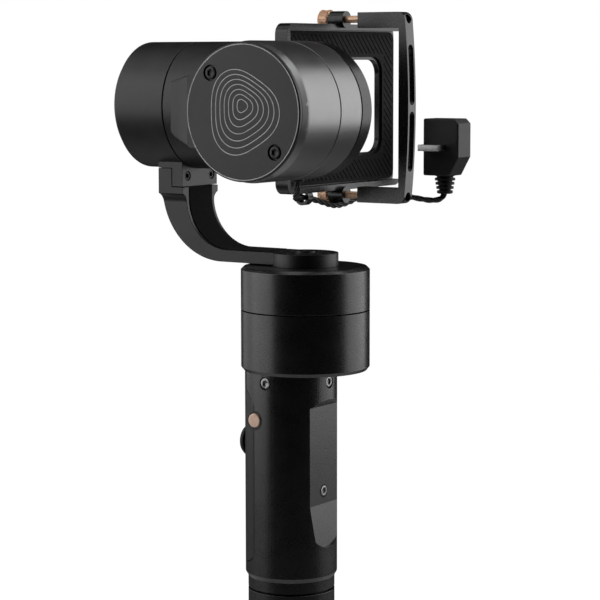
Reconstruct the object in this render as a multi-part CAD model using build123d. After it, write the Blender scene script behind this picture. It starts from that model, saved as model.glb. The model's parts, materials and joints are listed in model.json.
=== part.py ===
"""Three-axis handheld camera stabilizer, as an assembly of separate pieces, in millimetres.

Frame: origin at the mouth of the tripod thread under the tail cap, on the handle's axis.
+Z runs up the handle, -Y is the way the camera looks, -X is the tilt motor's side.
"""
from build123d import *
import os
from math import atan2, cos, degrees, radians, sin, sqrt

os.makedirs("parts", exist_ok=True)

# ---------------------------------------------------------------- driving dimensions
# handle
SHELL_R = 13.2
SHELL_BORE_R = 10.0
GRIP_R = 12.45
GRIP_BORE_R = 10.95
CAP_TOP_Z = 20.0
GRIP_BOTTOM_Z = 20.2
GRIP_TOP_Z = 120.2
SHELL_STEP_Z = 124.9
SHELL_TOP_Z = 183.8
SPIGOT_Z = 173.4
GROOVE_BANDS_Z = (40.0, 62.0, 84.0)
GROOVES_PER_BAND = 6
GROOVE_PITCH = 2.2
TRIPOD_R = 3.175
TRIPOD_DEPTH = 9.0

# control section
COVER_HALF_W = 12.55
COVER_Z = (128.0, 179.0)
COVER_T = 1.8
SEAM = 0.2
RECESS_Y = -11.15
RECESS_SCREW_Z = 149.1
TOP_SCREW_Z = 180.7
HEAD_R, COUNTERBORE_R = 1.55, 1.85
BUTTON_Y, BUTTON_Z = 3.7, 169.9
BUTTON_R = 2.0
BEZEL_R = 2.75
STICK_Z = 161.5
STICK_PIVOT_Y = 7.4
BOARD_Y = (0.4, 2.0)
BOARD_Z = (129.0, 171.8)
USB_Z = 146.0
LED_Z = 170.0

# motors: outer radius, height of the stator side and of the rotor side of the seam
YAW_R, YAW_STATOR_H, YAW_ROTOR_H = 18.3, 17.15, 12.35
ROLL_R, ROLL_STATOR_H, ROLL_ROTOR_H = 18.3, 18.6, 15.7
TILT_R, TILT_STATOR_H, TILT_ROTOR_H = 17.95, 16.3, 10.1
SEAM_HALF = 0.15
SHAFT_R = 2.47
SHAFT_BORE_R = 1.5
BEARING_BORE_R = 2.5
BEARING_R = 4.5
TUBE_R = 5.6
WALL = 1.5
MAGNET_T = 1.6
AIR_GAP = 0.5
SLOTS = 12
POLES = 14

# where the three axes are
YAW_Y = -4.95
YAW_SEAM_Z = 200.95
HEAD_Z = 258.2
ROLL_SEAM_Y = 31.65
TILT_Y = -28.0
TILT_SEAM_X = -45.2

# yaw arm: a bar that sweeps back from the yaw motor and up to the roll motor
ARM_HALF_W = 6.7
TONGUE_HALF_W = 8.6
ARM_BOTTOM_Z, ARM_TOP_Z = 213.7, 217.1
OUTER_ARC = (19.6, 21.0)
INNER_ARC = (17.55, 14.2)
ARM_BACK_Y = 40.55
TONGUE_Y = 35.75
TONGUE_TOP_Z = 240.1
LIP_BOTTOM_Z = 234.9
HUB_R = 9.4
HUB_SCREW_R = 6.2
FOOT_FRONT_Y = 32.0
FOOT_HALF_W = 8.5
FOOT_SCREW_X = 5.8
FOOT_SCREW_Z = 237.9
CHANNEL_DEPTH = 1.3
STRIP_HALF_W = 5.5

# camera cage
FLANGE_X = (-35.1, -29.5)
PLATE_Y = (-19.95, -16.0)
PLATE_X = (-31.0, 27.0)
PLATE_HALF_H = 22.75
POCKET_HALF_H = 21.1
POCKET_FLOOR_Y = -17.5
PAD_T = 0.65
WINDOW_X = (-18.0, 19.0)
WINDOW_HALF_H = 13.0
GUSSET_HALF_H = 8.5
CLAMP_X = -4.0
SCREW_UP = 24.0
BOSS_Y = (-21.35, -16.65)
BOSS_R = 2.3
BAR_HALF_T = 2.0
BAR_INNER_Y = -39.15
BAR_END_Y = -41.15
BAR_BOW = 1.1
BAR_CORNER_R = 2.4
ARM_REAR_Y = -26.05
ARM_IN, ARM_OUT = 21.6, 25.85
THUMB_R = 2.5
THUMB_Y = (-16.55, -13.1)
SCREW_R = 1.0
SCREW_HOLE_R = 1.05
SCREW_TIP_Y = -37.5

# camera lead
LEAD_R = 0.9
EYELET_X = (-20.0, 14.0)
EYELET_Y, EYELET_Z = -17.9, 234.3
EYELET_R, EYELET_BORE_R = 2.2, 1.45
LEAD_ROUTE = [
    (-32.3, -24.0, 240.6), (-32.3, -24.0, 237.2), (-30.0, -21.8, 234.9), (-25.8, -19.2, 234.1),
    (-20.0, -17.9, 234.3), (-12.5, -17.9, 232.8), (-4.0, -17.9, 230.7), (5.0, -17.9, 232.0),
    (14.0, -17.9, 234.3), (20.5, -20.2, 233.3), (27.0, -24.4, 231.8), (32.0, -28.2, 230.6),
    (35.2, -30.1, 231.6), (35.2, -30.1, 234.4),
]
BOOT_X, BOOT_Y = 35.2, -30.1
BOOT_Z = (232.7, 238.0)
RIBS, RIB_PITCH = 4, 1.22
PLUG_X = (31.2, 38.8)
PLUG_Y = (-36.6, -25.0)
PLUG_Z = (238.0, 254.4)

# where each motor stands: built about +Z with its seam at z = 0 and its rotor on top
YAW_PLACE = Pos(0, YAW_Y, YAW_SEAM_Z)
ROLL_PLACE = Pos(0, ROLL_SEAM_Y, HEAD_Z) * Rot(90, 0, 0)
TILT_PLACE = Pos(TILT_SEAM_X, TILT_Y, HEAD_Z) * Rot(0, 90, 0)


# ---------------------------------------------------------------- small shape helpers
def save(name, shape):
    """Writes one node; a list becomes a group of separate solids."""
    export_step(Compound(children=shape) if isinstance(shape, list) else shape, f"parts/{name}.step")


def disc(radius, low, high):
    return Pos(0, 0, (low + high) / 2) * Cylinder(radius, high - low)


def tube(outer, inner, low, high):
    return disc(outer, low, high) - disc(inner, low, high)


def block(x, y, z):
    """A box from its low and high corner on each axis."""
    size = (x[1] - x[0], y[1] - y[0], z[1] - z[0])
    return Pos((x[0] + x[1]) / 2, (y[0] + y[1]) / 2, (z[0] + z[1]) / 2) * Box(*size)


def lathe(points):
    """A solid of revolution about Z from (radius, height) points."""
    outline = Polyline(*[(r, 0, z) for r, z in points], close=True)
    return revolve(make_face(outline), Axis.Z)


def along_y(radius, x, z, low, high):
    return Pos(x, (low + high) / 2, z) * Rot(90, 0, 0) * Cylinder(radius, high - low)


def along_x(radius, y, z, low, high):
    return Pos((low + high) / 2, y, z) * Rot(0, 90, 0) * Cylinder(radius, high - low)


def rounded_plate(x, z, y, radius):
    """A plate across Y with rounded corners in its X-Z outline."""
    outline = RectangleRounded(x[1] - x[0], z[1] - z[0], radius)
    face = Pos((x[0] + x[1]) / 2, y[1], (z[0] + z[1]) / 2) * Rot(90, 0, 0) * outline
    return extrude(face, amount=y[1] - y[0], dir=(0, -1, 0))


def socket_screw(head_r, head_h, shank_r, length):
    """A socket head screw that points down, with the underside of its head at z = 0."""
    head = chamfer(disc(head_r, 0, head_h).edges().sort_by(Axis.Z)[-1], 0.12 * head_h)
    socket = extrude(Pos(0, 0, 0.35 * head_h) * RegularPolygon(0.58 * head_r, 6), amount=head_h)
    return head + disc(shank_r, -length, 0) - socket


# ---------------------------------------------------------------- motors
def motor(radius, stator_h, rotor_h, back_chamfer, front_chamfer):
    """The inner and outer pieces of one outrunner motor."""
    floor = -stator_h
    inside = radius - WALL
    tube_top = rotor_h - 3.8
    core_r = inside - MAGNET_T - AIR_GAP
    core_top = rotor_h - 4.4

    housing = lathe([
        (2.0, floor), (radius - back_chamfer[0], floor), (radius, floor + back_chamfer[1]),
        (radius, -SEAM_HALF), (inside, -SEAM_HALF), (inside, floor + 2.2), (TUBE_R, floor + 2.2),
        (TUBE_R, tube_top), (BEARING_R, tube_top), (BEARING_R, floor + 1.6), (2.0, floor + 1.6),
    ])
    bell = lathe([
        (SHAFT_R, rotor_h), (radius - front_chamfer, rotor_h), (radius, rotor_h - front_chamfer),
        (radius, SEAM_HALF), (inside, SEAM_HALF), (inside, rotor_h - 2.0), (4.2, rotor_h - 2.0),
        (4.2, rotor_h - 3.4), (SHAFT_R, rotor_h - 3.4),
    ])
    shaft = tube(SHAFT_R, SHAFT_BORE_R, floor + 1.9, rotor_h)
    bearings = [
        tube(BEARING_R, BEARING_BORE_R, floor + 1.6, floor + 4.6),
        tube(BEARING_R, BEARING_BORE_R, tube_top - 3.2, tube_top - 0.2),
    ]

    core_h = core_top - 1.2
    middle = 1.2 + core_h / 2
    core = tube(7.4, TUBE_R, 1.2, core_top)
    coils = []
    for k in range(SLOTS):
        turn = Rot(0, 0, k * 360 / SLOTS)
        tooth = Pos(7.0 + (core_r - 7.0) / 2, 0, middle) * Box(core_r - 7.0, 1.8, core_h)
        shoe = Pos(core_r - 0.7, 0, middle) * Box(1.4, 5.2, core_h)
        core += turn * (tooth + shoe)
        coil_len = core_r - 1.7 - 8.0
        wound = Box(coil_len, 3.4, core_h + 1.6) - Box(coil_len, 1.8, core_h)
        coils.append(turn * Pos(8.0 + coil_len / 2, 0, middle) * wound)
    core = core & disc(core_r, 1.2, core_top)

    bar = Polyline((inside - MAGNET_T, 0, 0.6), (inside, 0, 0.6), (inside, 0, rotor_h - 2.6),
                   (inside - MAGNET_T, 0, rotor_h - 2.6), close=True)
    magnet = revolve(make_face(bar), Axis.Z, revolution_arc=360 / POLES - 2.5)
    magnets = [Rot(0, 0, k * 360 / POLES) * magnet for k in range(POLES)]
    return {"housing": housing, "bell": bell, "shaft": shaft, "bearings": bearings,
            "winding": [core] + coils, "magnets": magnets}


def placed(place, shape):
    return [place * s for s in shape] if isinstance(shape, list) else place * shape


def save_motor(name, place, pieces, kinds):
    for kind in kinds:
        save(f"{name}_{kind}", placed(place, pieces[kind]))


yaw = motor(YAW_R, YAW_STATOR_H, YAW_ROTOR_H, (0.8, 1.0), 0.9)
roll = motor(ROLL_R, ROLL_STATOR_H, ROLL_ROTOR_H, (1.7, 1.7), 0.7)
tilt = motor(TILT_R, TILT_STATOR_H, TILT_ROTOR_H, (0.9, 2.4), 0.25)
save_motor("yaw", YAW_PLACE, yaw, ("bearings", "winding", "magnets", "shaft"))
save_motor("roll", ROLL_PLACE, roll, ("bearings", "winding", "magnets", "shaft"))
save_motor("tilt", TILT_PLACE, tilt, ("bearings", "winding", "magnets", "shaft"))

# yaw stator: its floor carries an off-centre spigot that plugs into the handle
spigot = disc(SHELL_BORE_R - 0.05, SPIGOT_Z, SHELL_TOP_Z + 0.5) - Pos(0, YAW_Y) * disc(4.3, 171, SHELL_TOP_Z)
screw_angles = (0, 90, 180, 270)
shank_holes = [Rot(0, 0, a) * along_x(1.0, 0, TOP_SCREW_Z, 9.2, 14) for a in screw_angles]
yaw_housing = placed(YAW_PLACE, yaw["housing"]) + spigot
yaw_housing -= Pos(0, YAW_Y) * disc(2.0, 171, 190)
for hole in shank_holes:
    yaw_housing -= hole
save("yaw_stator_housing", yaw_housing)
save("slip_ring", Pos(0, YAW_Y) * (disc(4.1, 182.3, SHELL_TOP_Z) + disc(3.4, 170.5, 182.3)))

# yaw rotor bell, with a turned groove round its top face and four tapped holes
yaw_bell = yaw["bell"] - tube(17.05, 16.8, YAW_ROTOR_H - 0.25, YAW_ROTOR_H)
hub_spots = [Rot(0, 0, a) * Pos(HUB_SCREW_R, 0, YAW_ROTOR_H) for a in screw_angles]
for spot in hub_spots:
    yaw_bell -= spot * disc(0.9, -2.0, 0)
save("yaw_rotor_bell", placed(YAW_PLACE, yaw_bell))
save("roll_rotor_bell", placed(ROLL_PLACE, roll["bell"]))
save("tilt_rotor_bell", placed(TILT_PLACE, tilt["bell"]))


# ---------------------------------------------------------------- handle
def cover_outline(inset, low_y):
    """The rear cover's outline seen along Y, as a solid from low_y outwards."""
    half = COVER_HALF_W - inset
    low, high = COVER_Z[0] + inset, COVER_Z[1] - inset
    top, foot = 5.0, 3.0
    outline = Polyline((-half + foot, low), (half - foot, low))
    outline += RadiusArc((half - foot, low), (half, low + foot), -foot)
    outline += Line((half, low + foot), (half, high - top))
    outline += RadiusArc((half, high - top), (half - top, high), -top)
    outline += Line((half - top, high), (-half + top, high))
    outline += RadiusArc((-half + top, high), (-half, high - top), -top)
    outline += Line((-half, high - top), (-half, low + foot))
    outline += RadiusArc((-half, low + foot), (-half + foot, low), -foot)
    face = Pos(0, low_y, 0) * Rot(90, 0, 0) * make_face(outline)
    return extrude(face, amount=20, dir=(0, 1, 0))


shell = lathe([
    (9.0, 112.0), (10.85, 112.0), (10.85, GRIP_TOP_Z), (GRIP_R - 0.3, GRIP_TOP_Z),
    (GRIP_R, GRIP_TOP_Z + 0.3), (GRIP_R, SHELL_STEP_Z - 1.3), (SHELL_R, SHELL_STEP_Z),
    (SHELL_R, SHELL_TOP_Z), (SHELL_BORE_R, SHELL_TOP_Z), (SHELL_BORE_R, 125.0), (9.0, 125.0),
])
recess = Polyline((-20, 133.1), (-12.2, 133.1), (RECESS_Y, 145.5), (RECESS_Y, 173.7),
                  (-13.35, 175.9), (-20, 175.9), close=True)
recess_top = rounded_plate((-7.6, 7.6), (130.4, 175.9), (-21, -10), 2.6)
recess_foot = rounded_plate((-7.6, 7.6), (133.1, 192), (-21, -10), 7.2)
shell -= extrude(Plane.YZ * make_face(recess), amount=15, both=True) & recess_top & recess_foot
shell -= cover_outline(0, 1.0) - disc(SHELL_R - COVER_T, 120, 190)
shell -= cover_outline(1.3, 1.0)
bezel_hole = along_x(BEZEL_R, BUTTON_Y, BUTTON_Z, -14, -8.8)
usb_hole = Pos(11, 3.45, USB_Z) * Rot(0, 90, 0) * extrude(SlotOverall(9.2, 4.0), amount=4, both=True)
shell -= bezel_hole
shell -= usb_hole
for angle in screw_angles:
    shell -= Rot(0, 0, angle) * along_x(COUNTERBORE_R, 0, TOP_SCREW_Z, 11.7, 14)
    shell -= Rot(0, 0, angle) * along_x(1.0, 0, TOP_SCREW_Z, 9, 12)
shell -= along_y(COUNTERBORE_R, 0, RECESS_SCREW_Z, -12, RECESS_Y + 0.7)
shell -= along_y(1.0, 0, RECESS_SCREW_Z, -12, -9)
save("handle_shell", shell)

cover = cover_outline(SEAM, 1.0 + SEAM) & tube(SHELL_R, SHELL_R - COVER_T, 120, 190)
cover -= along_y(6.2, 0, STICK_Z, 11.95, 14)
cover -= along_y(2.9, 0, STICK_Z, 10, 14)
cover -= along_y(0.8, 0, LED_Z, 10, 14)
cover -= bezel_hole
cover -= usb_hole
save("control_cover", cover)

top_screw = socket_screw(HEAD_R, 1.3, 1.0, 2.3)
handle_screws = [Rot(0, 0, a) * Pos(11.7, 0, TOP_SCREW_Z) * Rot(0, 90, 0) * top_screw
                 for a in screw_angles]
handle_screws.append(Pos(0, RECESS_Y + 0.7, RECESS_SCREW_Z) * Rot(90, 0, 0)
                     * socket_screw(HEAD_R, 0.85, 1.0, 4.0))
save("handle_screws", handle_screws)

# plastic chassis that carries the controller board behind the recess screw
chassis = tube(SHELL_BORE_R - 0.1, 8.5, 130, 171.5) & block((-12, 12), (-12, BOARD_Y[0]), (120, 180))
chassis += along_y(2.6, 0, RECESS_SCREW_Z, -9.7, -5.0) & disc(9.9, 120, 180)
chassis -= along_y(1.0, 0, RECESS_SCREW_Z, -12, -6.45)
save("inner_chassis", chassis)

board = block((-8.7, 8.7), BOARD_Y, BOARD_Z)
save("controller_board", board)
chips = [
    block((-3.5, 3.5), (2.0, 3.0), (134, 141)),
    block((-7.6, -4.6), (2.0, 2.9), (141.5, 144.5)),
    block((-6.5, -2.5), (2.0, 3.2), (148.5, 152.5)),
    block((1.2, 3.6), (2.0, 2.8), (149, 153)),
    block((-8.7, -6.0), (2.0, 5.4), (168.1, 171.7)),
]
save("controller_chips", chips)
usb = block((5.4, 12.0), (2.0, 4.9), (USB_Z - 3.8, USB_Z + 3.8))
usb -= block((7.2, 13.0), (2.5, 4.4), (USB_Z - 3.3, USB_Z + 3.3))
usb += block((7.0, 11.2), (3.2, 3.7), (USB_Z - 2.4, USB_Z + 2.4))
save("usb_port", usb)
led = along_y(0.8, 0, LED_Z, 10.8, SHELL_R) + along_y(1.3, 0, LED_Z, 9.8, 10.8)
save("led_lens", led)

# side button: a copper disc on a short stem, in a bezel that straddles the seam
bezel = along_x(BEZEL_R, BUTTON_Y, BUTTON_Z, -12.85, -10.4)
bezel -= along_x(BUTTON_R + 0.06, BUTTON_Y, BUTTON_Z, -13, -9)
save("button_bezel", bezel)
button = along_x(BUTTON_R, BUTTON_Y, BUTTON_Z, -13.4, -10.0)
button = fillet(button.edges().sort_by(Axis.X)[0], 0.35)
button += along_x(BEZEL_R - 0.15, BUTTON_Y, BUTTON_Z, -10.3, -9.6)
save("power_button", button)

# joystick: base with a round hollow, a ring on pins along X, a stick on pins along Z
pivot = Pos(0, STICK_PIVOT_Y, STICK_Z)
base = block((-4.8, 4.8), (2.0, 9.9), (STICK_Z - 4.8, STICK_Z + 4.8))
base -= pivot * Sphere(4.0)
base -= Pos(0, 9.0, STICK_Z) * Rot(-90, 0, 0) * Cone(3.0, 3.8, 3.0)
base -= along_x(0.56, STICK_PIVOT_Y, STICK_Z, -4.6, 4.6)
save("joystick_base", base)
ring = Rot(90, 0, 0) * (Cylinder(3.2, 1.5) - Cylinder(2.3, 1.5) - Rot(90, 0, 0) * Cylinder(0.56, 8))
for side in (-1, 1):
    ring += Pos(side * 3.7, 0, 0) * Rot(0, 90, 0) * Cylinder(0.5, 1.6)
save("joystick_ring", pivot * ring)
stick = Sphere(1.7) + Cylinder(0.5, 6.0) + Pos(0, 3.6, 0) * Rot(90, 0, 0) * Cylinder(1.1, 6.4)
save("joystick_stick", pivot * stick)
dome = lathe([(1.1, 0), (4.6, 0), (4.8, 0.3), (4.65, 0.9), (4.1, 1.6), (3.1, 2.25), (1.7, 2.6), (0, 2.7),
              (0, 0.7), (1.1, 0.7)])
dome = Pos(0, 13.6, STICK_Z) * Rot(-90, 0, 0) * dome
save("joystick_cap", dome - pivot * Pos(0, 3.6, 0) * Rot(90, 0, 0) * Cylinder(1.1, 6.4))

# grip tube with three bands of turned grooves
grip = tube(GRIP_R, GRIP_BORE_R, GRIP_BOTTOM_Z, GRIP_TOP_Z - 0.4)
for band in GROOVE_BANDS_Z:
    for k in range(GROOVES_PER_BAND):
        middle = band + (k - (GROOVES_PER_BAND - 1) / 2) * GROOVE_PITCH
        grip -= tube(GRIP_R + 1, GRIP_R - 0.5, middle - 0.5, middle + 0.5)
save("grip_tube", grip)
save("battery_liner", tube(GRIP_BORE_R, 9.4, 28.5, 110.0))
cell = disc(9.15, 0, 34.0) + disc(2.8, 34.0, 35.0)
save("battery_cells", [Pos(0, 0, 38.0) * cell, Pos(0, 0, 73.0) * cell])
save("top_contact", disc(9.3, 108.6, 110.0) + disc(3.0, 108.0, 108.6))

# tail cap: fluted, screwed into the tube, with the tripod thread in its floor
cap = lathe([
    (TRIPOD_R, 0), (GRIP_R - 0.8, 0), (GRIP_R, 0.8), (GRIP_R, CAP_TOP_Z - 0.4),
    (GRIP_R - 0.4, CAP_TOP_Z), (GRIP_BORE_R - 0.05, CAP_TOP_Z), (GRIP_BORE_R - 0.05, 27.0),
    (8.7, 27.0), (8.7, 12.0), (0, 12.0), (0, TRIPOD_DEPTH), (TRIPOD_R, TRIPOD_DEPTH),
])
for k in range(30):
    cap -= Rot(0, 0, k * 12) * Pos(GRIP_R + 0.35, 0, 0) * disc(0.8, 3.5, 16.5)
save("tail_cap", cap)
contact = disc(8.4, 24.0, 25.2) + tube(5.4, 4.4, 25.2, 31.5) + tube(4.7, 3.6, 31.5, 37.6)
save("tail_contact", contact)


# ---------------------------------------------------------------- yaw arm and roll stator
def arc_yz(centre, radius, start, end):
    """An arc in the (Y, Z) plane's own coordinates, by centre and angles in degrees."""
    def point(angle):
        return (centre[0] + radius * cos(radians(angle)), centre[1] + radius * sin(radians(angle)))
    return ThreePointArc(point(start), point((start + end) / 2), point(end))


def solid_yz(lines, half_w):
    return extrude(Plane.YZ * make_face(lines), amount=half_w, both=True)


outer_y, outer_r = OUTER_ARC
inner_y, inner_r = INNER_ARC
outer_centre = (outer_y, ARM_BOTTOM_Z + outer_r)
inner_centre = (inner_y, ARM_TOP_Z + inner_r)
back_z = outer_centre[1] - sqrt(outer_r ** 2 - (ARM_BACK_Y - outer_y) ** 2)
outer_end_angle = degrees(atan2(back_z - outer_centre[1], ARM_BACK_Y - outer_y))
inner_x = inner_y + inner_r

side = Line((YAW_Y, ARM_BOTTOM_Z), (outer_y, ARM_BOTTOM_Z))
side += arc_yz(outer_centre, outer_r, -90, outer_end_angle)
side += Polyline((ARM_BACK_Y, back_z), (ARM_BACK_Y, TONGUE_TOP_Z), (TONGUE_Y, TONGUE_TOP_Z),
                 (TONGUE_Y, LIP_BOTTOM_Z - 0.2), (inner_x, LIP_BOTTOM_Z - 0.2),
                 (inner_x, inner_centre[1]))
side += arc_yz(inner_centre, inner_r, 0, -90)
side += Polyline((inner_y, ARM_TOP_Z), (YAW_Y, ARM_TOP_Z), (YAW_Y, ARM_BOTTOM_Z))
arm = solid_yz(side, TONGUE_HALF_W)

# the bar is narrower than its tongue, with a hollow curve between the two widths
step = (230.2, 232.8)
front = Polyline((-ARM_HALF_W, step[0]), (-ARM_HALF_W, 205), (ARM_HALF_W, 205), (ARM_HALF_W, step[0]))
front += ThreePointArc((ARM_HALF_W, step[0]), (ARM_HALF_W + 0.5, step[0] + 1.6), (TONGUE_HALF_W, step[1]))
front += Polyline((TONGUE_HALF_W, step[1]), (TONGUE_HALF_W, 245), (-TONGUE_HALF_W, 245),
                  (-TONGUE_HALF_W, step[1]))
front += ThreePointArc((-TONGUE_HALF_W, step[1]), (-ARM_HALF_W - 0.5, step[0] + 1.6),
                       (-ARM_HALF_W, step[0]))
arm = arm & (Pos(0, -30, 0) * Rot(90, 0, 0) * extrude(make_face(front), amount=-90))
arm += Pos(0, YAW_Y) * (disc(HUB_R, YAW_SEAM_Z + YAW_ROTOR_H, ARM_TOP_Z) + disc(2.9, ARM_TOP_Z, 217.6))


def inner_band(near, far, end_y, top_z):
    """The stretch that follows the arm's inner curve, between two offsets from it."""
    lines = Line((inner_x + near, top_z), (inner_x + near, inner_centre[1]))
    lines += arc_yz(inner_centre, inner_r + near, 0, -90)
    lines += Polyline((inner_y, ARM_TOP_Z - near), (end_y, ARM_TOP_Z - near), (end_y, ARM_TOP_Z - far),
                      (inner_y, ARM_TOP_Z - far))
    lines += arc_yz(inner_centre, inner_r + far, -90, 0)
    lines += Polyline((inner_x + far, inner_centre[1]), (inner_x + far, top_z), (inner_x + near, top_z))
    return lines


arm -= solid_yz(inner_band(-0.5, CHANNEL_DEPTH, 5.0, LIP_BOTTOM_Z + 0.3), STRIP_HALF_W + 0.1)
hub_holes = [Pos(0, YAW_Y) * Rot(0, 0, a) * Pos(HUB_SCREW_R, 0, 0) for a in screw_angles]
for spot in hub_holes:
    arm -= spot * (disc(0.9, 212, 218) + disc(2.0, ARM_TOP_Z - 1.5, 218))
foot_spots = [(side_x * FOOT_SCREW_X, FOOT_SCREW_Z) for side_x in (-1, 1)]
for x, z in foot_spots:
    arm -= along_y(0.9, x, z, 31, 39.5)
save("yaw_arm", arm)
save("wire_strip", solid_yz(inner_band(-0.2, 0.9, 5.1, LIP_BOTTOM_Z - 0.3), STRIP_HALF_W))
save("arm_wires", [solid_yz(inner_band(0.92, 1.26, 5.6, LIP_BOTTOM_Z - 0.6), 0.5).moved(Location((x, 0, 0)))
                   for x in (-3.0, -1.0, 1.0, 3.0)])
save("hub_screws", [spot * Pos(0, 0, ARM_TOP_Z - 1.5) * socket_screw(1.75, 1.35, 0.9, 3.9)
                    for spot in hub_holes])

foot = block((-FOOT_HALF_W, FOOT_HALF_W), (FOOT_FRONT_Y, ARM_BACK_Y), (TONGUE_TOP_Z + 0.1, HEAD_Z - 10))
foot += block((-FOOT_HALF_W, FOOT_HALF_W), (FOOT_FRONT_Y, TONGUE_Y - 0.1), (LIP_BOTTOM_Z, TONGUE_TOP_Z + 0.1))
foot -= along_y(ROLL_R - 0.6, 0, HEAD_Z, 20, 60)
roll_housing = placed(ROLL_PLACE, roll["housing"]) + foot
roll_back_y = ROLL_SEAM_Y + ROLL_STATOR_H
roll_housing -= along_y(15.6, 0, HEAD_Z, roll_back_y - 1.2, roll_back_y + 1)
for x, z in foot_spots:
    roll_housing -= along_y(0.9, x, z, 31, 36)
    roll_housing -= along_y(1.4, x, z, 31, FOOT_FRONT_Y + 1.3)
cap_screw_spots = [Rot(0, 0, a) * Pos(13.9, 0, 0) for a in (135, 315)]
for spot in cap_screw_spots:
    roll_housing -= placed(ROLL_PLACE, spot * disc(0.9, -ROLL_STATOR_H, -ROLL_STATOR_H + 2.2))
save("roll_stator_housing", roll_housing)
save("foot_screws", [Pos(x, FOOT_FRONT_Y + 1.3, z) * Rot(90, 0, 0) * socket_screw(1.3, 1.1, 0.9, 5.8)
                     for x, z in foot_spots])


def end_cap(radius, neck, bottom, top):
    """A round motor cap, its outer face down, on a neck, with two counterbored screw holes."""
    plate = chamfer(disc(radius, bottom, bottom + 1.0).edges().sort_by(Axis.Z)[0], 0.2)
    plate += disc(neck, bottom, top)
    for spot in cap_screw_spots:
        plate -= spot * (disc(2.0, bottom - 1, bottom + 0.75) + disc(0.9, bottom, top + 1))
    return plate


def cap_screws(bottom, length):
    screw = Rot(180, 0, 0) * socket_screw(HEAD_R, 0.65, 0.9, length)
    return [spot * Pos(0, 0, bottom + 0.75) * screw for spot in cap_screw_spots]


save("roll_back_cap", placed(ROLL_PLACE, end_cap(15.5, 15.5, -ROLL_STATOR_H, -ROLL_STATOR_H + 1.2)))
save("roll_cap_screws", placed(ROLL_PLACE, cap_screws(-ROLL_STATOR_H, 1.4)))

# ---------------------------------------------------------------- bridge and tilt stator
plan = Line((-12, 27.5), (-19.6, 27.5))
plan += ThreePointArc((-19.6, 27.5), (-41.0, 10.2), (-60.0, -8.5))
plan += Polyline((-60.0, -8.5), (-60.0, -22), (-46.5, -22), (-46.5, -9.5))
plan += ThreePointArc((-46.5, -9.5), (-34.0, 4.6), (-17.0, 16.6))
plan += Polyline((-17.0, 16.6), (-12, 16.6), (-12, 27.5))
bridge = extrude(Pos(0, 0, HEAD_Z - 15) * make_face(plan), amount=30)
flank = ThreePointArc((-10, 7.3), (-36, 7.6), (-62, 9.6)) + Line((-62, 9.6), (-62, -9.6))
flank += ThreePointArc((-62, -9.6), (-36, -7.6), (-10, -7.3)) + Line((-10, -7.3), (-10, 7.3))
bridge = bridge & (Pos(0, 40, HEAD_Z) * Rot(90, 0, 0) * extrude(make_face(flank), amount=80))
bridge -= along_y(ROLL_R, 0, HEAD_Z, -30, 60)
bridge -= along_x(TILT_R, TILT_Y, HEAD_Z, -80, -20)
bridge = fillet(bridge.edges().filter_by(Axis.Z).sort_by(Axis.Y)[-1], 1.3)
long_edges = bridge.edges().filter_by(GeomType.LINE, reverse=True).sort_by(SortBy.LENGTH)[-4:]
save("roll_bridge", fillet(long_edges, 1.0))

tilt_housing = placed(TILT_PLACE, tilt["housing"])
for spot in cap_screw_spots:
    tilt_housing -= placed(TILT_PLACE, spot * disc(0.9, -TILT_STATOR_H, -TILT_STATOR_H + 2.2))
save("tilt_stator_housing", tilt_housing)
CAP_T = 1.65
save("tilt_cap", placed(TILT_PLACE, end_cap(TILT_R - 0.45, 16.2, -TILT_STATOR_H - CAP_T, -TILT_STATOR_H)))
save("tilt_cap_screws", placed(TILT_PLACE, cap_screws(-TILT_STATOR_H - CAP_T, 2.6)))

# ---------------------------------------------------------------- camera cage
half_h = (HEAD_Z - PLATE_HALF_H, HEAD_Z + PLATE_HALF_H)
flange = lathe([(3.0, 0), (TILT_R - 0.25, 0), (TILT_R, 0.25), (TILT_R, 4.6), (TILT_R - 1.0, 5.6), (3.0, 5.6)])
cage = Pos(FLANGE_X[0], TILT_Y, HEAD_Z) * Rot(0, 90, 0) * flange
plate = rounded_plate(PLATE_X, half_h, PLATE_Y, 3.0)
pocket_z = (HEAD_Z - POCKET_HALF_H, HEAD_Z + POCKET_HALF_H)
plate -= block((-29.5, 40), (-25, POCKET_FLOOR_Y), pocket_z)
window_z = (HEAD_Z - WINDOW_HALF_H, HEAD_Z + WINDOW_HALF_H)
plate -= rounded_plate(WINDOW_X, window_z, (-25, -10), 4.0)
gusset = Polyline((-21.5, -16.4), (-21.5, -17.0), (-31, -17.0), (-31, -13.4), (-29.5, -13.4))
gusset += ThreePointArc((-29.5, -13.4), (-26.4, -15.2), (-21.5, -16.4))
plate += extrude(Pos(0, 0, HEAD_Z - GUSSET_HALF_H) * make_face(gusset), amount=2 * GUSSET_HALF_H)
for side_z in (-1, 1):
    z = HEAD_Z + side_z * SCREW_UP
    plate -= along_y(THUMB_R + 0.3, CLAMP_X, z, BOSS_Y[1], PLATE_Y[1] + 0.1)
    plate += along_y(BOSS_R, CLAMP_X, z, *BOSS_Y)
    plate -= along_y(SCREW_HOLE_R, CLAMP_X, z, -25, -10)
for x in EYELET_X:
    eyelet = along_x(EYELET_R, EYELET_Y, EYELET_Z, x - 1.25, x + 1.25)
    plate = plate + eyelet - along_x(EYELET_BORE_R, EYELET_Y, EYELET_Z, x - 2, x + 2)
lead_start = Pos(LEAD_ROUTE[0][0], LEAD_ROUTE[0][1])
cage = cage + plate - lead_start * disc(1.9, 238, 242.6)
save("cage_frame", cage)
save("lead_grommet", lead_start * (tube(1.9, LEAD_R, 239.2, 242.6) - disc(LEAD_R, 238, 243)))

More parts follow.
